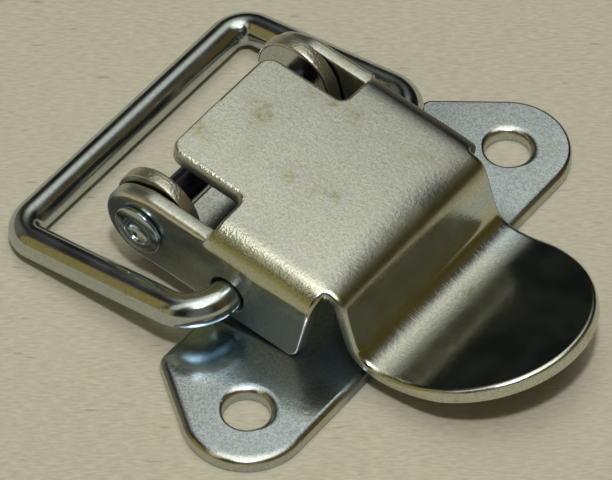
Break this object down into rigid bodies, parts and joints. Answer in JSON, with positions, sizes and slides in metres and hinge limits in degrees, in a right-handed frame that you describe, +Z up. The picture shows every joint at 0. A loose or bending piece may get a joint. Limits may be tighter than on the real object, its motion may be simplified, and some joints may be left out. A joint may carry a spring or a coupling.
{
  "type": "draw latch",
  "caption": "Over-centre draw latch of folded zinc-plated sheet: a base with side wings and pin ears, a lever with a round finger tab, and a swinging wire bail.",
  "frame": {"origin": "midway between the two mounting holes, on the mounting face", "axes": "+X from the bail towards the finger tab, +Z up out of the mounting face, Y along the pivot pin"},
  "size_m": [0.057, 0.0552, 0.0138],
  "materials": {
    "base_plate": "zinc plated, satin",
    "lever": "zinc plated, satin",
    "bail": "zinc plated, bright",
    "pivot_pin": "zinc plated, bright"
  },
  "bodies": {
    "base": {"base_plate": "base_plate", "pivot_pin": "pivot_pin"},
    "lever": {"lever": "lever"},
    "bail": {"bail": "bail"}
  },
  "joints": [
    {"name": "lever_hinge", "type": "hinge", "parent": "base", "child": "lever", "pos_m": [-0.0192, 0, 0.0076], "axis": [0, -1, 0], "range_deg": [0, 90]},
    {"name": "bail_hinge", "type": "hinge", "parent": "lever", "child": "bail", "pos_m": [-0.00839, 0, 0.00546], "axis": [0, 1, 0], "range_deg": [0, 178]}
  ]
}
